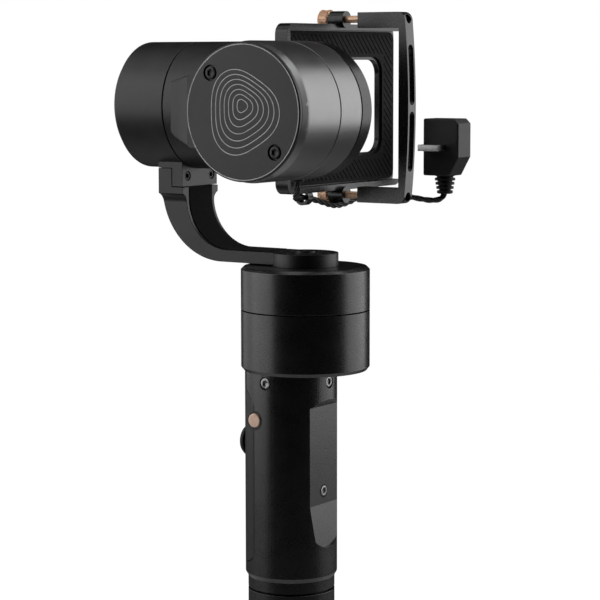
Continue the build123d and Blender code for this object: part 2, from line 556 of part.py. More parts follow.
pad = rounded_plate((-28.5, 26.0), (pocket_z[0] + 0.3, pocket_z[1] - 0.3),
                    (POCKET_FLOOR_Y - PAD_T, POCKET_FLOOR_Y), 2.5)
save("grip_pad", pad - rounded_plate((-18.8, 19.8), (window_z[0] - 0.8, window_z[1] + 0.8), (-25, -10), 4.5))

# clamp bar: a bowed front bar with two slots, and two arms that reach back to the screws
corner_y, corner_z = BAR_END_Y + BAR_CORNER_R, ARM_OUT - BAR_CORNER_R
bar = Line((ARM_REAR_Y, ARM_OUT), (corner_y, ARM_OUT))
bar += RadiusArc((corner_y, ARM_OUT), (BAR_END_Y, corner_z), -BAR_CORNER_R)
bar += ThreePointArc((BAR_END_Y, corner_z), (BAR_END_Y - BAR_BOW, 0), (BAR_END_Y, -corner_z))
bar += RadiusArc((BAR_END_Y, -corner_z), (corner_y, -ARM_OUT), -BAR_CORNER_R)
bar += Polyline((corner_y, -ARM_OUT), (ARM_REAR_Y, -ARM_OUT), (ARM_REAR_Y, -ARM_IN),
                (BAR_INNER_Y, -ARM_IN), (BAR_INNER_Y, ARM_IN), (ARM_REAR_Y, ARM_IN), (ARM_REAR_Y, ARM_OUT))
clamp_bar = Pos(CLAMP_X, 0, HEAD_Z) * extrude(Plane.YZ * make_face(bar), amount=BAR_HALF_T, both=True)
for side_z in (-1, 1):
    z = HEAD_Z + side_z * SCREW_UP
    clamp_bar -= along_y(SCREW_HOLE_R, CLAMP_X, z, -45, -20)
    clamp_bar -= along_y(1.3, CLAMP_X, z, -45, -40.2)
    slot_z = HEAD_Z + side_z * 9.0
    slot = Pos(CLAMP_X, -36, slot_z) * Rot(90, 0, 0) * Rot(0, 0, 90) * SlotOverall(16.2, 2.6)
    clamp_bar -= extrude(slot, amount=10, dir=(0, -1, 0))
save("clamp_bar", clamp_bar)

for name, side_z in (("thumbscrew_top", 1), ("thumbscrew_bottom", -1)):
    z = HEAD_Z + side_z * SCREW_UP
    knob = along_y(THUMB_R, CLAMP_X, z, *THUMB_Y)
    knob = chamfer(knob.edges().filter_by(GeomType.CIRCLE), 0.3)
    for k in range(16):
        spot = Pos(CLAMP_X, 0, z) * Rot(0, k * 22.5, 0)
        knob -= spot * along_y(0.24, THUMB_R, 0, THUMB_Y[0] - 1, THUMB_Y[1] + 1)
    save(name, knob + along_y(SCREW_R, CLAMP_X, z, SCREW_TIP_Y, THUMB_Y[0] + 0.5))

# ---------------------------------------------------------------- camera lead
runs = [Vector(*b) - Vector(*a) for a, b in zip(LEAD_ROUTE, LEAD_ROUTE[1:])]
radii = []
for before, after in zip(runs, runs[1:]):
    half_turn = radians(before.get_angle(after)) / 2
    radii.append(0.45 * min(before.length, after.length) * cos(half_turn) / sin(half_turn))
lead_path = FilletPolyline(*LEAD_ROUTE, radius=radii)
lead = sweep(Plane(origin=lead_path @ 0, z_dir=lead_path % 0) * Circle(LEAD_R), path=lead_path)
print("lead bend radii", [round(r, 1) for r in radii])
print("lead length", round(lead_path.length, 1), "volume ratio",
      round(lead.volume / (lead_path.length * 3.14159 * LEAD_R ** 2), 4))
save("camera_lead", lead)

boot_points = [(0, BOOT_Z[0]), (1.9, BOOT_Z[0])]
for k in range(RIBS):
    low = BOOT_Z[0] + 0.2 + RIB_PITCH * k
    radius = 2.3 + 0.22 * k
    boot_points += [(radius, low), (radius, low + 0.7), (radius - 0.6, low + 0.8), (radius - 0.6, low + 1.1)]
boot_points += [(2.9, BOOT_Z[1] - 0.1), (2.9, BOOT_Z[1]), (0, BOOT_Z[1])]
boot = Pos(BOOT_X, BOOT_Y) * (lathe(boot_points) - disc(LEAD_R, BOOT_Z[0] - 1, LEAD_ROUTE[-1][2]))
save("lead_boot", boot)
plug = block(PLUG_X, PLUG_Y, PLUG_Z)
front_edges = plug.edges().filter_by(Axis.X).group_by(Axis.Y)[0].sort_by(Axis.Z)
plug = chamfer(front_edges[-1], 1.4)
foot_edge = plug.edges().filter_by(Axis.X).group_by(Axis.Y)[0].sort_by(Axis.Z)[0]
plug = fillet(chamfer(foot_edge, 5.4, 3.0).edges(), 0.5)
save("lead_plug", plug)
save("plug_tongue", block((26.9, PLUG_X[0]), (-32.5, -25.7), (245.2, 247.0)))
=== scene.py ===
# %% [markdown]
# # A handheld gimbal stabilizer
# The CAD model gives every metal and plastic part its true shape, place and joint. This notebook
# dresses it: soft edges where a cutter or a file left them, turned and blasted metal, knurls,
# screws, ribs and twisted wires, and a plain studio to look at it in. All lengths are metres.

# %% Load the frame
import bmesh
import bpy
import json
from math import cos, pi, radians, sin, tau
from mathutils import Matrix, Vector


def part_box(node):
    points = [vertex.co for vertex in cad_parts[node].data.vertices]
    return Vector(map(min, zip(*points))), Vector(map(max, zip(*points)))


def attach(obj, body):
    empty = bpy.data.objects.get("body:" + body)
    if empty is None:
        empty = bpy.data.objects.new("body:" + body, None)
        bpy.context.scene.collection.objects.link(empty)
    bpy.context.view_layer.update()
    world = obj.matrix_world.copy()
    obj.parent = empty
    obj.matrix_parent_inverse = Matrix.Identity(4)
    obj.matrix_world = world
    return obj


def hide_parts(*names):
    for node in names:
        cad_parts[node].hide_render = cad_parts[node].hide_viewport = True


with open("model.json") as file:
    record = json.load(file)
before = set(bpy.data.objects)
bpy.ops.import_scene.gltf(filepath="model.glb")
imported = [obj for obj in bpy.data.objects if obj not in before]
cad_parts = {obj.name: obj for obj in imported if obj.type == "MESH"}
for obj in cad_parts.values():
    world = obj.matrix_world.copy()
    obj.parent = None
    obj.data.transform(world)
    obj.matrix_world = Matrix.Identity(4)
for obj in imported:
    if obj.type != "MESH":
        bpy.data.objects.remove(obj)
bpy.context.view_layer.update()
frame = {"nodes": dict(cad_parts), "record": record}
MM = 0.001


def centre_of(node):
    low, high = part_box(node)
    return (low + high) / 2


HANDLE_AXIS = Vector((0, 0, 0))
YAW_AXIS = centre_of("yaw_rotor_bell")
ROLL_AXIS = centre_of("roll_rotor_bell")
TILT_AXIS = centre_of("tilt_rotor_bell")
for title, axis in (("yaw", YAW_AXIS), ("roll", ROLL_AXIS), ("tilt", TILT_AXIS)):
    print(title, "motor at", *[round(value, 4) for value in axis])

# %% [markdown]
# ## Camera
# A long lens from a little above the yaw motor keeps the motors' circles nearly true. The camera
# stands on the tilt motor's side, in front of the cage, so that all three motors show.

# %% Camera
CAMERA_AT = Vector((-0.4946, -0.33415, 0.2714))
CAMERA_AZIMUTH, CAMERA_PITCH, CAMERA_ROLL = radians(-56.206), radians(-6.52), radians(-0.09)
FOCAL_MM, SENSOR_MM, CLIP_START = 126.4, 36.0, 0.01

lens = bpy.data.cameras.new("studio_camera")
lens.lens, lens.sensor_width, lens.clip_start = FOCAL_MM, SENSOR_MM, CLIP_START
camera = bpy.data.objects.new("studio_camera", lens)
camera.matrix_world = (Matrix.Translation(CAMERA_AT)
                       @ Matrix.Rotation(CAMERA_AZIMUTH, 4, "Z")
                       @ Matrix.Rotation(pi / 2 + CAMERA_PITCH, 4, "X")
                       @ Matrix.Rotation(CAMERA_ROLL, 4, "Z"))
bpy.context.scene.collection.objects.link(camera)
bpy.context.scene.camera = camera

# %% [markdown]
# ## Writing shaders and node trees as sums
# A material is easier to read as arithmetic than as boxes and wires. `Wire` holds one socket of a
# tree, and each operator on it adds the Math node that does it. `Tree` adds every other node: its
# settings go first, because they decide which sockets it has, and then its sockets' values.

# %% Wire and Tree
class Wire:
    """One socket of a node tree, for use in expressions."""

    def __init__(self, tree, socket):
        self.tree, self.socket = tree, socket

    def maths(self, operation, *values):
        return self.tree.add("ShaderNodeMath", {"operation": operation}, dict(enumerate(values)))

    def __add__(self, other):
        return self.maths("ADD", self, other)

    def __mul__(self, other):
        return self.maths("MULTIPLY", self, other)

    def __sub__(self, other):
        return self.maths("SUBTRACT", self, other)

    def __rsub__(self, other):
        return self.maths("SUBTRACT", other, self)

    def __truediv__(self, other):
        return self.maths("DIVIDE", self, other)

    def __pow__(self, other):
        return self.maths("POWER", self, other)

    __radd__, __rmul__ = __add__, __mul__

    def sine(self):
        return self.maths("SINE", self)

    def cosine(self):
        return self.maths("COSINE", self)

    def clip(self, low, high, to_low=0.0, to_high=1.0):
        """The value carried from low..high to to_low..to_high, and held at those ends."""
        values = {"Value": self, "From Min": low, "From Max": high, "To Min": to_low, "To Max": to_high}
        return self.tree.add("ShaderNodeMapRange", {"clamp": True}, values)


class Tree:
    """A node tree that is filled by calls, for shaders and for geometry alike."""

    def __init__(self, nodes_of):
        self.nodes, self.links = nodes_of.nodes, nodes_of.links

    def add(self, kind, settings=None, values=None, out=0):
        node = self.nodes.new(kind)
        for name, value in (settings or {}).items():
            setattr(node, name, value)
        for name, value in (values or {}).items():
            if isinstance(value, Wire):
                self.links.new(value.socket, node.inputs[name])
            else:
                node.inputs[name].default_value = value
        return Wire(self, node.outputs[out])


# %% [markdown]
# ## Finishes
# Black anodised aluminium is metal under a dyed, glassy skin: almost no colour, a soft gloss, and
# a grain left by the glass beads that blasted it. Under a studio light its gloss is what shows, so
# the roughness varies a little everywhere, and the grain is a bump of a few hundredths of a
# millimetre. A turned part has fine rings round its axis as well.

# %% Finish builder
class Finish(Tree):
    """A Principled material; noise(), rings() and bump() give it the marks of how the part was made."""

    def __init__(self, name, colour, roughness, metallic=0.0, ior=1.5):
        self.material = bpy.data.materials.new(name)
        self.material.use_nodes = True
        self.material.diffuse_color = (*colour, 1.0)
        super().__init__(self.material.node_tree)
        self.shader = self.nodes["Principled BSDF"]
        self.put("Base Color", (*colour, 1.0))
        self.put("Roughness", roughness)
        self.put("Metallic", metallic)
        self.put("IOR", ior)
        self.place = self.add("ShaderNodeTexCoord", out="Object")

    def put(self, socket, value):
        if isinstance(value, Wire):
            self.links.new(value.socket, self.shader.inputs[socket])
        else:
            self.shader.inputs[socket].default_value = value

    def noise(self, size, detail=2.0, place=None):
        """Cloudy noise from 0 to 1, with blotches of this size in metres."""
        values = {"Vector": place or self.place, "Scale": 1 / size, "Detail": detail}
        return self.add("ShaderNodeTexNoise", {"noise_dimensions": "3D"}, values)

    def mix(self, share, first, second):
        """A colour between two others. The Mix node's colours go into 6 and 7 and leave by 2."""
        values = {0: share, 6: first, 7: second}
        return self.add("ShaderNodeMix", {"data_type": "RGBA"}, values, out=2)

    def clouded(self, share, colour, low, high):
        """Base colour that wanders between two shades, low and high times one colour."""
        shades = [(*[c * times for c in colour], 1) for times in (low, high)]
        self.put("Base Color", self.mix(share, *shades))

    def bump(self, height, depth, strength=1.0):
        """Turns height, in 0 to 1, into a normal for relief of this depth in metres."""
        self.put("Normal", self.add("ShaderNodeBump", {}, {"Height": height, "Distance": depth,
                                                           "Strength": strength}))

    def axes(self, centre=(0, 0, 0)):
        """The three coordinates of a point, measured from centre."""
        moved = self.add("ShaderNodeVectorMath", {"operation": "SUBTRACT"},
                         {0: self.place, 1: tuple(centre)})
        parts = self.nodes.new("ShaderNodeSeparateXYZ")
        self.links.new(moved.socket, parts.inputs[0])
        return [Wire(self, parts.outputs[k]) for k in range(3)]

    def rings(self, along, centre, pitch):
        """The feed marks of a lathe: uneven fine rings round the axis numbered along (0 is X)."""
        parts = self.axes(centre)
        across = [parts[k] for k in range(3) if k != along]
        radius = (across[0] * across[0] + across[1] * across[1]) ** 0.5
        turn = self.add("ShaderNodeCombineXYZ", {}, {0: parts[along], 1: radius, 2: 0.0})
        return self.noise(pitch, 1.0, turn)


BEAD_MARK, CLOUD, FEED, BLAST_DEPTH = 0.32 * MM, 6 * MM, 0.35 * MM, 0.012 * MM


def blasted(name, colour, roughness, turned=None, ior=1.62):
    """Bead blasted, anodised aluminium. turned is (axis number, centre) on a part made on a lathe."""
    finish = Finish(name, colour, roughness, ior=ior)
    beads, cloud = finish.noise(BEAD_MARK, 3.0), finish.noise(CLOUD)
    relief = beads * 0.6
    if turned:
        relief = relief + finish.rings(*turned, FEED) * 0.25
    finish.clouded(cloud.clip(0.35, 0.65), colour, 0.8, 1.25)
    finish.put("Roughness", beads.clip(0.3, 0.7, roughness - 0.05, roughness + 0.05)
               + cloud.clip(0.3, 0.7, -0.02, 0.02))
    finish.bump(relief, BLAST_DEPTH, 0.6)
    return finish.material


# %% Anodised metals
BLACK = (0.005, 0.005, 0.0055)
handle_metal = blasted("anodised_handle", BLACK, 0.3, (2, HANDLE_AXIS))
yaw_metal = blasted("anodised_yaw_motor", BLACK, 0.3, (2, YAW_AXIS))
roll_metal = blasted("anodised_roll_motor", (0.012, 0.012, 0.0125), 0.42, (1, ROLL_AXIS), 1.52)
# The tilt motor's copy is lighter and far glossier (IOR 2.6) than the others: a painted highlight for the
# brighter light that falls on its side.
tilt_metal_lit_copy = blasted("anodised_tilt_motor_lit_copy", (0.022, 0.022, 0.0225), 0.36, (0, TILT_AXIS), 2.6)
arm_metal = blasted("anodised_arm", (0.006, 0.006, 0.0065), 0.42, ior=1.52)
cage_metal = blasted("anodised_cage", (0.004, 0.004, 0.0045), 0.3, ior=1.5)
clamp_metal = blasted("anodised_clamp", (0.008, 0.008, 0.0085), 0.3)
cap_metal = blasted("anodised_cap_face", (0.008, 0.008, 0.0085), 0.44, ior=1.55)


# %% [markdown]
# ## Plastics, rubber and wire
# Moulded plastic carries the fine texture that was eroded into its mould. Rubber is duller, with
# a coarser, uneven skin, and the strip in the arm has the flecks of a foamed rubber.

# %% Plastics and rubber
def moulded(name, colour, roughness, grain, depth, ior=1.48):
    """Plastic, rubber or paint with a skin of this grain and depth, both in metres."""
    finish = Finish(name, colour, roughness, ior=ior)
    texture, cloud = finish.noise(grain, 3.0), finish.noise(20 * grain)
    finish.put("Roughness", texture.clip(0.3, 0.7, roughness - 0.06, roughness + 0.06))
    finish.clouded(cloud.clip(0.3, 0.7), colour, 0.85, 1.2)
    finish.bump(texture, depth, 0.6)
    return finish.material


cover_plastic = moulded("moulded_cover", (0.006, 0.006, 0.0065), 0.42, 0.35 * MM, 0.02 * MM)
smooth_plastic = moulded("smooth_black_plastic", (0.01, 0.01, 0.011), 0.25, 0.5 * MM, 0.006 * MM)
plug_plastic = moulded("plug_plastic", (0.016, 0.016, 0.017), 0.5, 0.3 * MM, 0.02 * MM)
pad_rubber = moulded("pad_rubber", (0.005, 0.005, 0.0053), 0.8, 0.3 * MM, 0.03 * MM, 1.35)
strip_rubber = moulded("foamed_rubber", (0.003, 0.003, 0.003), 0.9, 0.5 * MM, 0.06 * MM, 1.3)
boot_rubber = moulded("boot_rubber", (0.008, 0.008, 0.0085), 0.6, 0.3 * MM, 0.02 * MM, 1.45)
stick_rubber = moulded("joystick_rubber", (0.011, 0.011, 0.012), 0.68, 0.25 * MM, 0.03 * MM, 1.45)
wire_skin = moulded("silicone_wire", (0.009, 0.009, 0.009), 0.38, 0.2 * MM, 0.01 * MM, 1.45)
board_green = moulded("solder_mask", (0.01, 0.09, 0.035), 0.3, 0.8 * MM, 0.02 * MM, 1.5)
cell_wrap = moulded("cell_wrap", (0.03, 0.1, 0.32), 0.3, 2.0 * MM, 0.02 * MM, 1.5)
line_paint = moulded("line_paint", (0.75, 0.75, 0.76), 0.5, 0.15 * MM, 0.005 * MM)
light_pipe = moulded("frosted_light_pipe", (0.72, 0.75, 0.78), 0.4, 0.3 * MM, 0.01 * MM, 1.45)


# %% [markdown]
# ## Screws, shafts and copper
# Screws are steel, bright or blackened, shafts are ground, magnets are nickel plated, and the coils
# are enamelled copper. The button and the thumbscrews are aluminium in a copper colour: the dye is
# lit through clear oxide, so they are mostly colour with a little metal under it, and read paler
# than real copper. All share one recipe, a fine scratch that breaks up the gloss.

# %% Bare metals
SCRATCH_DEPTH = 0.008 * MM


def machined(name, colour, roughness, scratch=0.15 * MM, metallic=1.0):
    """Bare or plated metal with the fine scratches of cutting and handling."""
    finish = Finish(name, colour, roughness, metallic=metallic)
    wear, cloud = finish.noise(scratch, 4.0), finish.noise(1.5 * MM)
    finish.put("Roughness", wear.clip(0.3, 0.7, roughness - 0.07, roughness + 0.07))
    finish.clouded(cloud.clip(0.3, 0.7), colour, 0.82, 1)
    finish.bump(wear, SCRATCH_DEPTH, 0.5)
    return finish.material


copper_satin = machined("copper_anodising", (1.0, 0.7, 0.53), 0.33, metallic=0.1)
gold_knurl = machined("gold_copper_turning", (1.0, 0.64, 0.42), 0.3, metallic=0.3)
screw_steel = machined("screw_steel", (0.3, 0.3, 0.305), 0.34)
screw_black = machined("screw_black_oxide", (0.05, 0.05, 0.051), 0.4)
ground_steel = machined("ground_steel", (0.55, 0.55, 0.56), 0.25)
magnet_plate = machined("nickel_plate", (0.6, 0.59, 0.57), 0.2)
coil_copper = machined("enamelled_copper", (0.7, 0.3, 0.13), 0.3, 0.25 * MM)

# %% [markdown]
# ## Edges
# CAD edges are perfectly sharp, and nothing real is: a deburred edge is a tenth or two of a
# millimetre round, and that narrow round is what catches the light. It could be modelled into every
# part, but a Bevel does it to all of them with one number. So each part is copied from its CAD node
# with its triangles merged back to whole faces, gets a narrow Bevel on its sharp edges, and stands
# for the node. The shape itself stays the CAD model's.

# %% soften
BODIES = frame["record"]["behaviour"]["bodies"]
BODY_OF = {node: body for body, members in BODIES.items() for node in members}
MERGE_WITHIN, FLAT_WITHIN, SHARP_FROM = 1e-6, 0.4, 32


def applied(thing, name=None):
    """The object with its modifiers turned into a plain mesh at the origin."""
    graph = bpy.context.evaluated_depsgraph_get()
    mesh = bpy.data.meshes.new_from_object(thing.evaluated_get(graph), depsgraph=graph)
    done = bpy.data.objects.new(name or thing.name, mesh)
    bpy.context.scene.collection.objects.link(done)
    bpy.data.objects.remove(thing)
    return done


def round_edges(thing, width, sharp):
    """Adds the narrow Bevel on each edge that turns by more than sharp, in degrees."""
    bevel = thing.modifiers.new("edge", "BEVEL")
    bevel.width, bevel.segments = width, 2
    bevel.limit_method, bevel.angle_limit = "ANGLE", radians(sharp)
    return bevel


def soften(node, material, width, sharp=SHARP_FROM):
    """A copy of a CAD node with its sharp edges rounded, which then stands for the node."""
    mesh = frame["nodes"][node].data.copy()
    shape = bmesh.new()
    shape.from_mesh(mesh)
    bmesh.ops.remove_doubles(shape, verts=shape.verts, dist=MERGE_WITHIN)
    bmesh.ops.dissolve_limit(shape, angle_limit=radians(FLAT_WITHIN), verts=shape.verts,
                             edges=shape.edges)
    shape.to_mesh(mesh)
    shape.free()
    if mesh.has_custom_normals:
        mesh.normals_split_custom_set([(0, 0, 0)] * len(mesh.loops))
    mesh.materials.clear()
    mesh.materials.append(material)
    mesh.shade_smooth()
    mesh.set_sharp_from_angle(angle=radians(sharp + 3))
    piece = bpy.data.objects.new(node + "_soft", mesh)
    bpy.context.scene.collection.objects.link(piece)
    bevel = round_edges(piece, width, sharp)
    bevel.use_clamp_overlap, bevel.miter_outer = True, "MITER_ARC"
    flats = piece.modifiers.new("flats", "WEIGHTED_NORMAL")
    flats.keep_sharp, flats.weight = True, 60
    piece = applied(piece, node + "_finished")
    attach(piece, BODY_OF[node])
    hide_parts(node)
    return piece


# %% [markdown]
# ## Which parts are softened
# Castings and turned parts get 0.1 to 0.25 mm, and the clamp bar, which is tumbled smooth, gets
# more. The recess in the handle runs out at a shallow angle, so there an edge counts as sharp from
# 7 degrees already. Moulded parts are a little rounder than their size needs, as moulds are.

# %% Soft edged metal parts
SHARP_ON = {"handle_shell": 7}
SOFT_EDGED = {
    "yaw_stator_housing": (yaw_metal, 0.18), "yaw_rotor_bell": (yaw_metal, 0.25),
    "roll_stator_housing": (roll_metal, 0.22), "roll_rotor_bell": (roll_metal, 0.22),
    "tilt_stator_housing": (tilt_metal_lit_copy, 0.2), "tilt_rotor_bell": (tilt_metal_lit_copy, 0.12),
    "yaw_arm": (arm_metal, 0.22), "roll_bridge": (arm_metal, 0.2),
    "cage_frame": (cage_metal, 0.12), "clamp_bar": (clamp_metal, 0.35),
    "tilt_cap": (cap_metal, 0.1), "roll_back_cap": (cap_metal, 0.15),
    "handle_shell": (handle_metal, 0.1), "grip_tube": (handle_metal, 0.08),
    "tail_cap": (handle_metal, 0.12),
}
for node, (material, width) in SOFT_EDGED.items():
    piece = soften(node, material, width * MM, SHARP_ON.get(node, SHARP_FROM))
    print(node, "faces", len(piece.data.polygons))

# %% Soft edged plastic and rubber parts
SOFT_TRIM = {
    "control_cover": (cover_plastic, 0.1), "wire_strip": (strip_rubber, 0.1),
    "button_bezel": (smooth_plastic, 0.1), "joystick_cap": (stick_rubber, 0.12),
    "lead_boot": (boot_rubber, 0.12), "plug_tongue": (ground_steel, 0.12),
    "lead_plug": (plug_plastic, 0.1), "power_button": (copper_satin, 0.08),
    "lead_grommet": (boot_rubber, 0.2),
}
for node, (material, width) in SOFT_TRIM.items():
    soften(node, material, width * MM)
print("softened", len(SOFT_EDGED) + len(SOFT_TRIM), "parts")

# %% [markdown]
# ## Parts left as they are
# What sits inside, or is too small for its edges to show, keeps the mesh of its CAD node and only
# gets its finish. A finished piece is made where the eye can reach it, and not elsewhere.

# %% Parts that keep their CAD mesh
KEPT = {
    gold_knurl: ["thumbscrew_top", "thumbscrew_bottom"],
    pad_rubber: ["grip_pad"],
    wire_skin: ["arm_wires"],
    ground_steel: ["yaw_shaft", "roll_shaft", "tilt_shaft", "yaw_bearings", "roll_bearings",
                   "tilt_bearings", "usb_port", "top_contact", "tail_contact"],
    magnet_plate: ["yaw_magnets", "roll_magnets", "tilt_magnets"],
    coil_copper: ["yaw_winding", "roll_winding", "tilt_winding"],
    smooth_plastic: ["inner_chassis", "battery_liner", "controller_chips", "joystick_base",
                     "joystick_ring", "joystick_stick", "slip_ring"],
    board_green: ["controller_board"],
    cell_wrap: ["battery_cells"],
    light_pipe: ["led_lens"],
}
for material, nodes in KEPT.items():
    for node in nodes:
        for place in frame["nodes"][node].material_slots:
            place.material = material
print("kept", sum(len(nodes) for nodes in KEPT.values()), "CAD meshes")

# %% [markdown]
# ## Recipes for repeated things
# Screws, knurls, contour lines and twisted wires are each one Geometry Nodes tree. Its named
# inputs are the sizes a maker would change, and it ends by making real mesh of its instances and
# giving them their material.

# %% Recipe
RECIPE_BEVEL_FROM, RECIPE_SHARP_FROM = 40, 38


class Recipe(Tree):
    """A Geometry Nodes tree with named inputs; made() runs it on an object and keeps the mesh."""

    KINDS = {int: "NodeSocketInt", float: "NodeSocketFloat", tuple: "NodeSocketVector"}

    def __init__(self, name, inputs):
        self.group = bpy.data.node_groups.new(name, "GeometryNodeTree")
        face = self.group.interface
        face.new_socket("Geometry", in_out="INPUT", socket_type="NodeSocketGeometry")
        for label, value in inputs.items():
            socket = face.new_socket(label, in_out="INPUT", socket_type=self.KINDS[type(value)])
            socket.default_value = value
        face.new_socket("Material", in_out="INPUT", socket_type="NodeSocketMaterial")
        face.new_socket("Geometry", in_out="OUTPUT", socket_type="NodeSocketGeometry")
        super().__init__(self.group)
        self.entry = self.nodes.new("NodeGroupInput")

    def given(self, label="Geometry"):
        return Wire(self, self.entry.outputs[label])

    def vector(self, x=0.0, y=0.0, z=0.0):
        return self.add("ShaderNodeCombineXYZ", {}, {0: x, 1: y, 2: z})

    def across(self, operation, first, second):
        """Vector maths on two vectors; SCALE takes a plain number second."""
        values = {0: first, 3 if operation == "SCALE" else 1: second}
        return self.add("ShaderNodeVectorMath", {"operation": operation}, values)

    def ends(self, geometry):
        """Closes the tree: real mesh in place of instances, in the given material."""
        real = self.add("GeometryNodeRealizeInstances", {}, {0: geometry})
        dressed = self.add("GeometryNodeSetMaterial", {}, {"Geometry": real,
                                                           "Material": self.given("Material")})
        self.links.new(dressed.socket, self.nodes.new("NodeGroupOutput").inputs[0])

    def made(self, name, material, base, values=None, place=None, bevel=0.0):
        """Runs the tree on base, which is a list of points, points with edges, or a curve.

        values are its inputs where they differ, and place moves the mesh that comes out.
        """
        if isinstance(base, bpy.types.Curve):
            data = base
        else:
            points, edges = base if isinstance(base, tuple) else (base, [])
            data = bpy.data.meshes.new(name)
            data.from_pydata(points, edges, [])
        thing = bpy.data.objects.new(name + "_base", data)
        bpy.context.scene.collection.objects.link(thing)
        step = thing.modifiers.new("recipe", "NODES")
        step.node_group = self.group
        for socket in self.group.interface.items_tree:
            if socket.name in (values or {}):
                step[socket.identifier] = values[socket.name]
            elif socket.name == "Material":
                step[socket.identifier] = material
        if bevel:
            round_edges(thing, bevel, RECIPE_BEVEL_FROM)
        thing = applied(thing, name)
        if place:
            thing.data.transform(place)
        thing.data.shade_smooth()
        thing.data.set_sharp_from_angle(angle=radians(RECIPE_SHARP_FROM))
        print(name, "faces", len(thing.data.polygons))
        return thing


def joined(name, pieces):
    """Several plain mesh objects as one."""
    shape = bmesh.new()
    for piece in pieces:
        shape.from_mesh(piece.data)
    mesh = bpy.data.meshes.new(name)
    shape.to_mesh(mesh)
    shape.free()
    for material in pieces[0].data.materials:
        mesh.materials.append(material)
    whole = bpy.data.objects.new(name, mesh)
    bpy.context.scene.collection.objects.link(whole)
    for piece in pieces:
        bpy.data.objects.remove(piece)
    return whole


def stands_for(piece, node, extra=False):
    """Makes piece ride with a node's body; unless extra, it is seen in the node's place."""
    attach(piece, BODY_OF[node])
    if not extra:
        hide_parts(node)


# %% [markdown]
# ## Socket screws
# The motors and the handle are held by small screws with a hexagon hole for a key. The CAD model
# has each one as a plain stepped pin. One tree makes a head, cuts its hexagon with a Boolean and
# adds a shank. Where each screw stands and how wide it is are then measured on the CAD pins, so
# that the two can't part company.

# %% Socket screws
screws = Recipe("socket_screws", {"Head Radius": 1.55 * MM, "Head Height": 1.3 * MM,
                                  "Hex Radius": 0.9 * MM, "Hex Depth": 0.8 * MM,
                                  "Shank Radius": 0.9 * MM, "Shank Length": 2.0 * MM})
head_h, hex_depth = screws.given("Head Height"), screws.given("Hex Depth")
shank_l = screws.given("Shank Length")
head = screws.add("GeometryNodeMeshCylinder", {}, {
    "Vertices": 40, "Radius": screws.given("Head Radius"), "Depth": head_h})
head = screws.add("GeometryNodeTransform", {}, {
    "Geometry": head, "Translation": screws.vector(z=head_h * 0.5)})
hexagon = screws.add("GeometryNodeMeshCylinder", {}, {
    "Vertices": 6, "Radius": screws.given("Hex Radius"), "Depth": hex_depth * 2.0})
hexagon = screws.add("GeometryNodeTransform", {}, {
    "Geometry": hexagon, "Translation": screws.vector(z=head_h)})
cut = screws.add("GeometryNodeMeshBoolean", {"operation": "DIFFERENCE", "solver": "EXACT"}, {0: head})
screws.links.new(hexagon.socket, cut.socket.node.inputs["Mesh 2"])
shank = screws.add("GeometryNodeMeshCylinder", {}, {
    "Vertices": 20, "Radius": screws.given("Shank Radius"), "Depth": shank_l})
shank = screws.add("GeometryNodeTransform", {}, {
    "Geometry": shank, "Translation": screws.vector(z=shank_l * -0.5)})
whole = screws.add("GeometryNodeJoinGeometry")
for part in (cut, shank):
    screws.links.new(part.socket, whole.socket.node.inputs[0])
screws.ends(screws.add("GeometryNodeInstanceOnPoints", {}, {"Points": screws.given(), "Instance": whole}))


def turned_to(direction, at):
    """The placing that carries +Z at the origin to a direction at a place, in millimetres."""
    spin = Vector((0, 0, 1)).rotation_difference(Vector(direction)).to_matrix().to_4x4()
    return Matrix.Translation(Vector(at) * MM) @ spin


HEX_PER_HEAD_R, HEX_PER_HEAD_H, SCREW_BEVEL = 0.58, 0.62, 0.1 * MM


def screw(name, material, direction, at, head_r, head_h, shank_r, shank_l):
    """One screw, with its sizes and the top of its shank in millimetres."""
    sizes = {"Head Radius": head_r * MM, "Head Height": head_h * MM,
             "Hex Radius": HEX_PER_HEAD_R * head_r * MM, "Hex Depth": HEX_PER_HEAD_H * head_h * MM,
             "Shank Radius": shank_r * MM, "Shank Length": shank_l * MM}
    return screws.made(name, material, [(0, 0, 0)], sizes, turned_to(direction, at), SCREW_BEVEL)


def screw_seats(node, count):
    """The loose parts of a screws node, as the low and high corners of their boxes in millimetres."""
    shape = bmesh.new()
    shape.from_mesh(frame["nodes"][node].data)
    bmesh.ops.remove_doubles(shape, verts=shape.verts, dist=MERGE_WITHIN)
    left, seats = set(shape.verts), []
    while left:
        reached, edge = set(), [left.pop()]
        while edge:
            vert = edge.pop()
            reached.add(vert)
            for link in vert.link_edges:
                other = link.other_vert(vert)
                if other in left:
                    left.discard(other)
                    edge.append(other)
        low = Vector([min(v.co[k] for v in reached) for k in range(3)]) / MM
        high = Vector([max(v.co[k] for v in reached) for k in range(3)]) / MM
        seats.append((low, high))
    shape.free()
    assert len(seats) == count, (node, len(seats))
    return seats


def dress_screws(node, count, material, facing, head_h, shank_r):
    """Puts the recipe's screws in place of a node's; facing(centre) is the way a head looks."""
    made = []
    for low, high in screw_seats(node, count):
        way = Vector(facing((low + high) / 2)).normalized()
        length = abs((high - low).dot(way))
        side = max((high - low)[k] for k in range(3) if abs(way[k]) < 0.5)
        tip = (low + high) / 2 + way * length / 2
        made.append(screw(f"{node}_{len(made)}", material, way, tip - way * head_h,
                          side / 2, head_h, shank_r, length - head_h))
    stands_for(joined(node + "_dressed", made), node)


def handle_way(centre):
    """Screws at the handle's sides look sideways, and the others to the front or back."""
    if abs(centre.x) > 6:
        return (centre.x, 0, 0)
    return (0, centre.y, 0)


